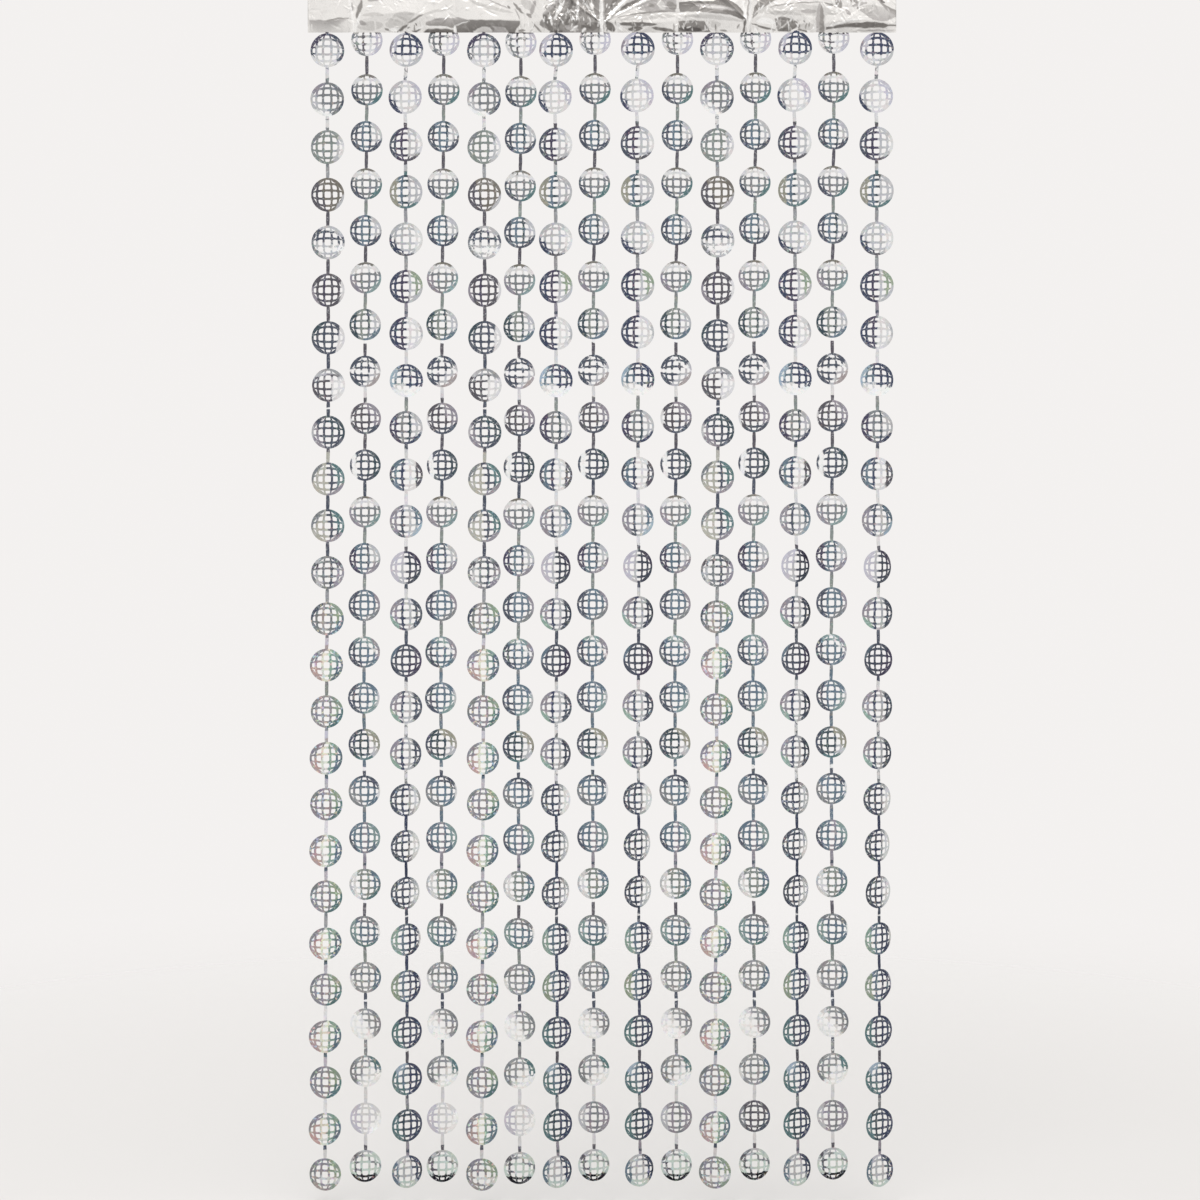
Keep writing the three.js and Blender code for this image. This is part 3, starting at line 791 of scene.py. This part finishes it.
topStrip = {                         # the same for both layers, flat and with fine creases only
    "top": -2,
    "drop": 38,
    "step": 4,
    "creases": 150,
    "relief": (0.05, 0.25),
}

pleats = [  # x, half width, height
    (-425, 7, 2.6), (-253, 3, 1.0), (-133, 9, 1.8), (0, 6, 3.4), (129, 3, 1.0), (248, 6, 3.4),
    (366, 8, 2.0),
]

swags = [  # from, to, height of the ridge at its ends and middle, relief, share left at the top
    (-500, -425, 24, 19, 4.5, 0.5), (-425, -253, 16, 33, 4.0, 0.2), (-253, -133, 22, 20, 5.5, 0.4),
    (-133, 0, 14, 22, 3.0, 0.6), (0, 129, 20, 15, 4.0, 0.1), (129, 248, 24, 34, 5.5, 0.1),
    (248, 366, 18, 36, 4.5, 0.2), (366, 500, 14, 20, 5.0, 0.5),
]

fans = [  # foot, its height, place of the upper end, half width, relief
    (-6, 20, -60, 7, 2.0), (-10, 24, -28, 5, 1.6), (-76, 10, -52, 7, 1.8), (6, 18, 46, 7, 1.6),
    (8, 20, 86, 8, 1.1), (242, 24, 206, 8, 1.4), (256, 26, 292, 8, 0.6), (410, 16, 470, 9, 0.4),
]
fanFade = 12                         # how far below its foot a fan dies away

crumples = [  # place and half width of the zones with the closest fine creases, and how close
    (-60, 50, 0.6), (-325, 156, 0.1), (60, 50, 0.5), (155, 30, 0.4), (312, 22, 0.5), (425, 60, 0.5),
]
fineCrease = {
    "gathered": 0.75,                # share of them that lie in those zones
    "spread": 0.55,                  # of a zone's half width, as a rule
    "halfLength": (4, 16),
    "half": (1.4, 3.5),              # half its width
}

# Tones of the heading's painted shade and highlights, from shine to deep shadow
headingTones = {
    "shine": "f8f6f4", "pale": "ebe8e5", "light": "d4d1ce", "mid": "b8b4b2", "shadow": "9b9794",
    "dark": "817d7a", "deep": "625e5c",
}

# Painted shade and highlights of the heading's single folds, one leaf of foil to a row
foldShades = [  # tone, from x and z, to x and z, bow, half width: a leaf of foil that faces up or down
    ("mid", -474, -3, -440, -3, 0, 1.6), ("shadow", -472, -42, -431, -36, 1, 1.4),
    ("pale", -493, -45, -493, -58, 0, 2), ("mid", -426, -9, -423, -24, 0, 2),
    ("shadow", -408, -3, -418, -37, -1, 3.6), ("shine", -428, -3, -421, -58, 0, 1.6),
    ("shine", -410, -25, -420, -59, 0, 2), ("light", -415, -50, -372, -48, 0, 8),
    ("mid", -413, -42, -401, -47, 0, 3.5), ("light", -408, -31, -371, -31, 1, 3.5),
    ("pale", -386, -32, -385, -60, 0, 1.6), ("mid", -398, -7, -374, -2, 0, 2.5),
    ("shadow", -331, -45, -302, -29, 0, 2), ("light", -306, -32, -261, -21, 2, 2.4),
    ("shadow", -370, -54, -358, -57, 0, 2), ("shine", -362, -56, -340, -55, 1, 3),
    ("dark", -349, -60, -328, -46, 0, 2.4), ("dark", -322, -57, -308, -54, -2, 2.2),
    ("shine", -318, -56, -300, -48, 0, 1.4), ("shine", -301, -50, -258, -52, 1, 1.1),
    ("shine", -250, -48, -249, -61, 0, 2.4), ("shine", -251, -49, -225, -41, 0, 0.9),
    ("shadow", -189, -50, -183, -58, 0, 2), ("light", -232, -3, -150, -27, -3, 3.4),
    ("mid", -196, -4, -158, -20, 0, 1.2), ("shadow", -161, -15, -155, -20, 0, 1.8),
    ("shadow", -150, -9, -133, -29, -1, 2.2), ("mid", -148, -20, -139, -39, 0, 1.3),
    ("light", -136, -4, -118, -22, 0, 7), ("pale", -134, -30, -126, -61, 0, 9),
    ("mid", -113, -5, -121, -32, 0, 3.6), ("shadow", -128, -28, -119, -35, 0, 3),
    ("shadow", -142, -57, -130, -57, 0, 2.6), ("shadow", -119, -42, -103, -60, 0, 1.4),
    ("dark", -100, -28, -84, -60, 0, 5), ("dark", -62, -56, -50, -4, 0, 4),
    ("mid", -100, -30, -70, -2, 0, 3), ("shine", -89, -27, -85, -48, 0, 2.2),
    ("shine", -81, -39, -63, 0, 0, 3.2), ("dark", -36, -52, -4, -48, 0, 7),
    ("shine", -41, -2, -43, -40, 0, 2.6), ("shine", -35, -2, -5, -42, 0, 1.8),
    ("pale", -20, -2, -15, -26, 0, 3), ("mid", -64, -50, -40, -56, 0, 4),
    ("shine", -54, -58, -41, -48, 0, 1.8), ("deep", -90, -60, -66, -58, 0, 3),
    ("shine", -34, -60, -28, -52, 0, 2), ("shine", -1, 4, 0, -62, 0, 4.5), ("shadow", -6, 2, -5, -60, 0, 1),
    ("mid", 3, 2, 3, -60, 0, 1), ("dark", 27, -1, 12, -20, 0, 3), ("pale", 44, 0, 7, -43, 2, 3.2),
    ("dark", 70, -2, 30, -23, 1, 4.4), ("shadow", 34, -18, 10, -40, -1, 1.3),
    ("pale", 66, -16, 16, -38, 2, 2.4), ("light", 96, -5, 106, -22, 0, 6),
    ("shadow", 78, -12, 90, -17, 0, 3), ("shadow", 110, -8, 127, -22, 0, 6),
    ("shadow", 24, -36, 126, -24, 3, 1.8), ("light", 22, -39, 124, -33, 2, 5),
    ("dark", 26, -46, 94, -47, 0, 3.4), ("dark", 5, -42, 22, -58, 0, 6), ("dark", 44, -55, 70, -53, 0, 4),
    ("shine", 26, -44, 34, -58, 0, 3), ("pale", 66, -57, 116, -60, 2, 4), ("dark", 84, -52, 126, -58, 0, 3),
    ("pale", 128, 2, 128, -60, 0, 2.2), ("shadow", 122, -44, 123, -60, 0, 1.2),
    ("mid", 158, -14, 228, -23, 1, 4), ("light", 172, -17, 214, -20, 1, 1.6),
    ("dark", 205, -24, 244, -38, 2, 4), ("light", 130, -33, 244, -42, 3, 3.4),
    ("deep", 130, -53, 171, -56, 0, 4), ("light", 184, -48, 202, -46, 0, 5),
    ("shadow", 200, -56, 213, -57, 0, 1.6), ("shadow", 234, -46, 229, -54, 0, 1.8),
    ("shine", 238, -2, 246, -44, 0, 2), ("dark", 244, -38, 240, -60, 0, 2.4),
    ("shadow", 249, 0, 247, -42, 0, 1), ("shine", 253, 2, 250, -60, 0, 2),
    ("light", 262, -25, 400, -28, 5, 10), ("shadow", 281, -18, 376, -9, 3, 1.1),
    ("mid", 338, -25, 364, -24, 0, 4), ("shine", 262, -41, 294, -44, 2, 5),
    ("dark", 254, -45, 296, -56, -1, 1.8), ("mid", 296, -54, 304, -36, 0, 1.6),
    ("light", 299, -56, 323, -38, 0, 0.9), ("dark", 332, -56, 350, -59, 2, 2.4),
    ("light", 334, -50, 362, -50, 0, 6), ("mid", 370, -10, 371, -84, 0, 7),
    ("shadow", 373, -14, 374, -84, 0, 4), ("light", 377, -20, 379, -61, 0, 1),
    ("shadow", 376, -10, 397, -18, 2, 1.4), ("shadow", 398, 0, 406, -19, 0, 5),
    ("mid", 414, -22, 422, -32, 0, 3), ("shadow", 424, -2, 436, -12, 0, 3),
    ("mid", 424, -16, 450, -10, 0, 3), ("dark", 470, -2, 480, -11, 0, 2.4),
    ("light", 484, -18, 488, -26, 0, 1), ("shine", 382, -50, 446, -37, 1, 2),
    ("mid", 430, -57, 500, -56, 0, 1.2),
]

# Painted shade and light of the heading's broad folds
foldBands = [  # tones of the upper and the lower edge, and those edges from left to right as x and z
    ("mid", "pale", [(-497, -39), (-465, -41), (-450, -40), (-430, -35)],
     [(-497, -62), (-464, -60), (-450, -53), (-430, -38)]),
    ("light", "light", [(-367, -43), (-354, -31), (-343, -26), (-333, -24), (-318, -28)],
     [(-367, -51), (-356, -53), (-340, -52), (-329, -43), (-318, -31)]),
    ("mid", "shadow", [(-300, -43), (-283, -37), (-265, -35), (-244, -35), (-228, -39)],
     [(-300, -47), (-293, -49), (-253, -52), (-228, -54)]),
    ("dark", "deep", [(-303, -59), (-296, -54), (-283, -53), (-252, -55)], [(-303, -61), (-252, -61)]),
    ("shadow", "dark", [(-247, -46), (-226, -39), (-210, -40), (-183, -40), (-137, -41)],
     [(-247, -61), (-150, -61), (-137, -43)]),
    ("pale", "light", [(-219, -57), (-205, -51), (-195, -51), (-187, -52)], [(-219, -61), (-187, -61)]),
    ("mid", "mid", [(-188, -50), (-180, -50), (-165, -52), (-160, -58)], [(-188, -61), (-160, -61)]),
    ("shadow", "shadow", [(-106, -46), (-97, -29), (-90, -22), (-76, -6), (-70, 0), (-4, 0)],
     [(-106, -48), (-90, -57), (-84, -61), (-4, -61)]),
    ("shadow", "shadow", [(4, 0), (42, 0)], [(4, -42), (8, -40), (42, -2)]),
    ("mid", "mid", [(60, -16), (75, -8), (85, -3), (127, -3)],
     [(60, -21), (80, -26), (100, -25), (127, -25)]),
    ("dark", "shadow", [(131, -9), (145, -7), (189, -7), (196, -3), (214, -3), (232, -15), (240, -24)],
     [(131, -25), (163, -26), (200, -29), (227, -33), (240, -40)]),
    ("shadow", "dark", [(128, -41), (150, -40), (174, -41), (184, -57)], [(128, -59), (184, -59)]),
    ("shadow", "shadow", [(255, -35), (260, -14), (270, -3), (294, -3)],
     [(255, -37), (266, -27), (280, -15), (294, -5)]),
    ("shadow", "dark", [(293, -37), (301, -34), (311, -34), (320, -38), (332, -42)],
     [(293, -40), (299, -58), (320, -58), (332, -50)]),
    ("dark", "dark", [(380, -51), (394, -50), (405, -46), (448, -43), (478, -44), (485, -47), (500, -47)],
     [(380, -55), (401, -53), (412, -51), (427, -52), (456, -53), (479, -52), (485, -50), (500, -49)]),
    ("light", "mid", [(438, -18), (456, -13), (474, -17), (500, -22)],
     [(438, -24), (448, -31), (459, -40), (483, -42), (500, -33)]),
    ("shadow", "mid", [(468, -3), (479, -13), (500, -22)], [(468, -6), (486, -26), (500, -32)]),
]

# Painted glints and shade of the finest creases, as short bright and dark streaks
streaks = [  # zones of fine bright and dark streaks: from x and z, to x and z, and how many
    (-104, -58, -6, -2, 95), (-350, -60, -300, -44, 12), (-146, -58, -108, -28, 8), (5, -58, 70, -42, 16),
    (6, -38, 24, -4, 8), (128, -58, 200, -41, 26), (256, -34, 286, -5, 8), (294, -57, 362, -36, 26),
    (396, -24, 450, -3, 22), (256, -58, 292, -46, 6),
]
streakLook = {
    "lean": 28,                      # degrees from upright, as a rule
    "length": (3, 12),
    "half": (0.6, 1.1),              # half its width
    "tones": ["shine", "light", "dark"],
    "shares": [0.3, 0.4, 0.3],
}


def ridge(distance, half):
    return np.clip(1 - np.abs(distance) / half, 0, 1)


def headingRelief(x, z):
    relief = sum(height * ridge(x - place, half) for place, half, height in pleats)
    for foot, rise, headEnd, half, height in fans:
        footHeight = rise - heading["drop"]
        up = np.maximum(0, 1 - z / footHeight)
        left = ridge(np.minimum(0, z - footHeight), fanFade)
        relief = relief + height * left * ridge(x - (foot + (headEnd - foot) * up), half * (0.5 + up))
    for start, end, endRise, middleRise, height, top in swags:
        inside = (x > start) & (x <= end)
        along = np.clip((x - start) / (end - start), 0, 1)
        bow = np.sin(math.pi * along)
        crest = endRise + (middleRise - endRise) * bow - heading["drop"]
        fall = np.where(z < crest, (crest - z) / (crest + heading["drop"]), (1 - top) * (z - crest) / -crest)
        relief = relief + np.where(inside, height * np.sqrt(np.maximum(0, bow)) * (1 - fall), 0)
    return relief


def fineCreases(x, z, rng, look):
    total = np.zeros_like(x)
    weights = np.array([half * close for place, half, close in crumples])
    for k in range(look["creases"]):
        if rng.random() < fineCrease["gathered"]:
            place, half, close = crumples[rng.choice(len(crumples), p=weights / weights.sum())]
            middle = place + rng.normal() * half * fineCrease["spread"]
        else:
            middle = upTo(rng, 0.5) * heading["width"]
        level = rng.uniform(-heading["drop"], 0)
        angle = rng.uniform(0, math.pi)
        length, half = rng.uniform(*fineCrease["halfLength"]), rng.uniform(*fineCrease["half"])
        near = np.abs(x - middle) < length + half
        right, up = x[near] - middle, z[near] - level
        along = right * math.cos(angle) + up * math.sin(angle)
        aside = up * math.cos(angle) - right * math.sin(angle)
        height = rng.uniform(*look["relief"]) * rng.choice([-1, 1])
        total[near] += height * ridge(aside, half) * ridge(along, length)
    return total


def fineStreaks(rng):  # rows like those of foldShades
    rows = []
    for startX, startZ, endX, endZ, count in streaks:
        for k in range(count):
            lean = math.radians(rng.normal() * streakLook["lean"])
            x, z = rng.uniform(startX, endX), rng.uniform(startZ, endZ)
            reachX = rng.uniform(*streakLook["length"]) / 2 * math.sin(lean)
            reachZ = rng.uniform(*streakLook["length"]) / 2 * math.cos(lean)
            tone = rng.choice(streakLook["tones"], p=streakLook["shares"])
            half = rng.uniform(*streakLook["half"])
            rows.append((tone, x - reachX, z - reachZ, x + reachX, z + reachZ, 0, half))
    return rows


# The heading's colour: painted shade and highlights of its folds and creases
def foldTones(x, z, rng):
    shiftX, shiftZ = (
        waver * waves(x, z, rng, heading["waverWaves"], heading["waverRates"]) for waver in heading["waver"]
    )
    x, z = x + shiftX, z + shiftZ
    values = {name: np.array(hexTint(code)) for name, code in headingTones.items()}
    color = np.tile(values["pale"], (len(x), 1))

    def paint(inside, tone):
        share = np.clip(inside / heading["edge"] + 0.5, 0, 1)[:, None]
        color[:] += share * (tone - color)

    for upperTone, lowerTone, upper, lower in foldBands:
        high, low = (np.interp(x, *zip(*edge)) for edge in (upper, lower))
        down = np.clip((high - z) / np.maximum(high - low, 1), 0, 1)[:, None]
        ends = np.minimum(x - upper[0][0], upper[-1][0] - x)
        inside = np.minimum(np.minimum(high - z, z - low), ends)
        paint(inside, values[upperTone] * (1 - down) + values[lowerTone] * down)
    for tone, startX, startZ, endX, endZ, bow, half in foldShades + fineStreaks(rng):
        length = math.hypot(endX - startX, endZ - startZ)
        along = ((x - startX) * (endX - startX) + (z - startZ) * (endZ - startZ)) / length ** 2
        aside = ((z - startZ) * (endX - startX) - (x - startX) * (endZ - startZ)) / length
        arch = np.clip(4 * along * (1 - along), 0, 1)
        rise = bow * (1 if endX >= startX else -1)
        inside = half * arch ** heading["leafEnds"] - np.abs(aside - rise * arch)
        paint(np.where(arch > 0, inside, -half), values[tone])
    return color


def foilSheet(name, look, plane, rng, folded=False):
    foot = look["top"] - look["drop"]
    columns = np.linspace(-0.5, 0.5, round(heading["width"] / look["step"]) + 1) * heading["width"]
    rows = np.linspace(look["top"], foot, round(look["drop"] / look["step"]) + 1)
    x, z = (grid.ravel() for grid in np.meshgrid(columns, rows, indexing="ij"))
    out = fineCreases(x, z, rng, look)
    if folded:
        out += headingRelief(x, z)
    wide = len(rows)
    faces = [
        [c * wide + r, c * wide + r + 1, (c + 1) * wide + r + 1, (c + 1) * wide + r]
        for c in range(len(columns) - 1)
        for r in range(wide - 1)
    ]
    mesh = bpy.data.meshes.new(name)
    mesh.from_pydata((np.column_stack([x, plane - out, z]) * mm).tolist(), [], faces)
    color = foldTones(x, z, rng) if folded else np.tile(hexTint(headingTones["light"]), (len(x), 1))
    # painted shade and light: slopes of the relief that face down darken the colour, those that face up
    # lighten it
    downward = np.gradient(out.reshape(len(columns), wide), -look["step"], axis=1).ravel()
    color[:, :3] *= np.clip(1 - heading["slopeShade"] * downward, *heading["shadeRange"])[:, None]
    attribute = mesh.color_attributes.new("tone", "FLOAT_COLOR", "POINT")
    attribute.data.foreach_set("color", np.clip(color, 0, 1).astype(np.float32).ravel())
    return finishPiece(name, mesh)


plainLook = {
    "roughness": 0.17,
    "bump": (0.3, 0.8 * mm),
    "crinkleScale": 150.0,
    "unevenScale": 90.0,
    "dark": 0.16,                    # how strong the darker patches are, and the lighter ones below
    "darkFrom": (0.5, 0.75),
    "darkTint": (0.45, 0.44, 0.43, 1.0),
    "light": 0.2,
    "lightFrom": (0.52, 0.75),
    "lightTone": "efedea",
}


def plainFoil():
    material, shader = newMaterial("heading_foil")
    place = shader.node("ShaderNodeTexCoord", out="Object")
    uneven = shader.noise(place, plainLook["unevenScale"], 5.0, 0.65)
    dark = shader.between(1 - uneven, *plainLook["darkFrom"]) * plainLook["dark"]
    light = shader.between(uneven, *plainLook["lightFrom"]) * plainLook["light"]
    # the tone attribute holds the heading's painted fold shade and highlights
    color = shader.mix(dark, shader.attribute("tone"), plainLook["darkTint"], "MULTIPLY")
    color = shader.mix(light, color, hexTint(plainLook["lightTone"]))
    crinkle = shader.node(
        "ShaderNodeTexVoronoi", {"feature": "DISTANCE_TO_EDGE"},
        {"Vector": place, "Scale": plainLook["crinkleScale"]},
    )
    foilSurface(shader, plainLook, color, crinkle)
    return material


# Building

rng = np.random.default_rng(25)
foil = holographicFoil()
plain = plainFoil()

strandPieces = {"front": [], "rear": []}
for number, (x, layerName, kind, drop) in enumerate(strandPlaces, 1):
    piece = buildStrand(number, x, layerName, kind, drop, rng)
    piece.data.materials.append(foil)
    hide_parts(layerName + "_strands")
    strandPieces[layerName].append(piece)
print("strands built:", sum(len(p.data.polygons) for row in strandPieces.values() for p in row), "faces")

band = foilSheet("heading_band", heading, heading["plane"], rng, folded=True)
band.data.materials.append(plain)
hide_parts("heading")

for layerName, layer in layers.items():
    stripPiece = foilSheet(layerName + "_top_strip", topStrip, layer["plane"] / mm, rng)
    stripPiece.data.materials.append(plain)
    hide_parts(layerName + "_strands")
print("heading and strips built")


# Stage: a plain pale floor and a soft studio

stage = {
    "floorHalf": 4.0,
    "floorDrop": 0.02,
    "floorFade": (0.9, 3.4),         # from the curtain, where the floor melts into the background
    "floorTone": (0.66, 0.645, 0.635, 1.0),
    "floorRoughness": 0.7,
    "paper": (0.9, 0.88, 0.868, 1.0),
    "studioTone": (1.0, 0.995, 0.985, 1.0),
    "light": 0.98,
    "uneven": 0.5,                   # how much the light varies softly round the studio
    "unevenScale": 2.2,
    "wings": (0.55, 0.95),           # how far to the side the studio starts to darken, and is darkest
    "wingShade": 0.3,
    "top": (0.5, 0.9),               # how high up it starts to brighten, and is brightest
    "topLight": 0.5,
}

keyLight = {                         # metres and watts
    "place": (-1.3, -1.7, 3.4),
    "aim": (0, 0, -1.2),
    "size": 1.6,
    "power": 30,
}


def addFloor():
    low = cadBox[0][2] - stage["floorDrop"]
    half = stage["floorHalf"]
    mesh = bpy.data.meshes.new("floor")
    corners = [(-half, -half, low), (half, -half, low), (half, half, low), (-half, half, low)]
    mesh.from_pydata(corners, [], [(0, 1, 2, 3)])
    floor = addObject("floor", mesh)
    material, shader = newMaterial("pale_floor")
    place = shader.node("ShaderNodeTexCoord", out="Object")
    aside, deep = (shader.node("ShaderNodeSeparateXYZ", {}, {0: place}, out=axis) for axis in "XY")
    away = shader.node("ShaderNodeMath", {"operation": "SQRT"}, {0: aside * aside + deep * deep})
    melt = shader.between(away, *stage["floorFade"])
    surface = shader.node(
        "ShaderNodeBsdfPrincipled", {},
        {"Base Color": stage["floorTone"], "Roughness": stage["floorRoughness"]},
    )
    clear = shader.node("ShaderNodeBsdfTransparent")
    both = shader.node("ShaderNodeMixShader", {}, {0: melt, 1: surface, 2: clear})
    shader.node("ShaderNodeOutputMaterial", {}, {0: both})
    mesh.materials.append(material)


def addWorld():
    world = bpy.data.worlds.new("studio")
    bpy.context.scene.world = world
    shader = Shader(world)
    direction = shader.node("ShaderNodeTexCoord", out="Generated")
    x, z = (shader.node("ShaderNodeSeparateXYZ", {}, {0: direction}, out=axis) for axis in "XZ")
    soft = shader.noise(direction, stage["unevenScale"], 1.0, 0.5)
    wings = shader.between(abs(x), *stage["wings"]) * stage["wingShade"]
    above = shader.between(z, *stage["top"]) * stage["topLight"]
    light = stage["light"] + (soft - 0.5) * stage["uneven"] - wings + above
    studio = shader.node("ShaderNodeBackground", {}, {0: stage["studioTone"], 1: light})
    seen = shader.node("ShaderNodeBackground", {}, {0: stage["paper"], 1: 1.0})
    isCamera = shader.node("ShaderNodeLightPath", out="Is Camera Ray")
    both = shader.node("ShaderNodeMixShader", {}, {0: isCamera, 1: studio, 2: seen})
    shader.node("ShaderNodeOutputWorld", {}, {0: both})


def addKeyLight():
    data = bpy.data.lights.new("key", "AREA")
    data.shape = "RECTANGLE"
    data.size = data.size_y = keyLight["size"]
    data.energy = keyLight["power"]
    light = addObject("key", data)
    light.visible_camera = False
    light.location = keyLight["place"]
    way = np.array(keyLight["aim"], float) - keyLight["place"]
    light.rotation_euler = (
        math.atan2(math.hypot(way[0], way[1]), -way[2]), 0.0, math.atan2(-way[0], way[1])
    )


bpy.context.scene.view_settings.view_transform = "Standard"
addFloor()
addWorld()
addKeyLight()
print("stage set")
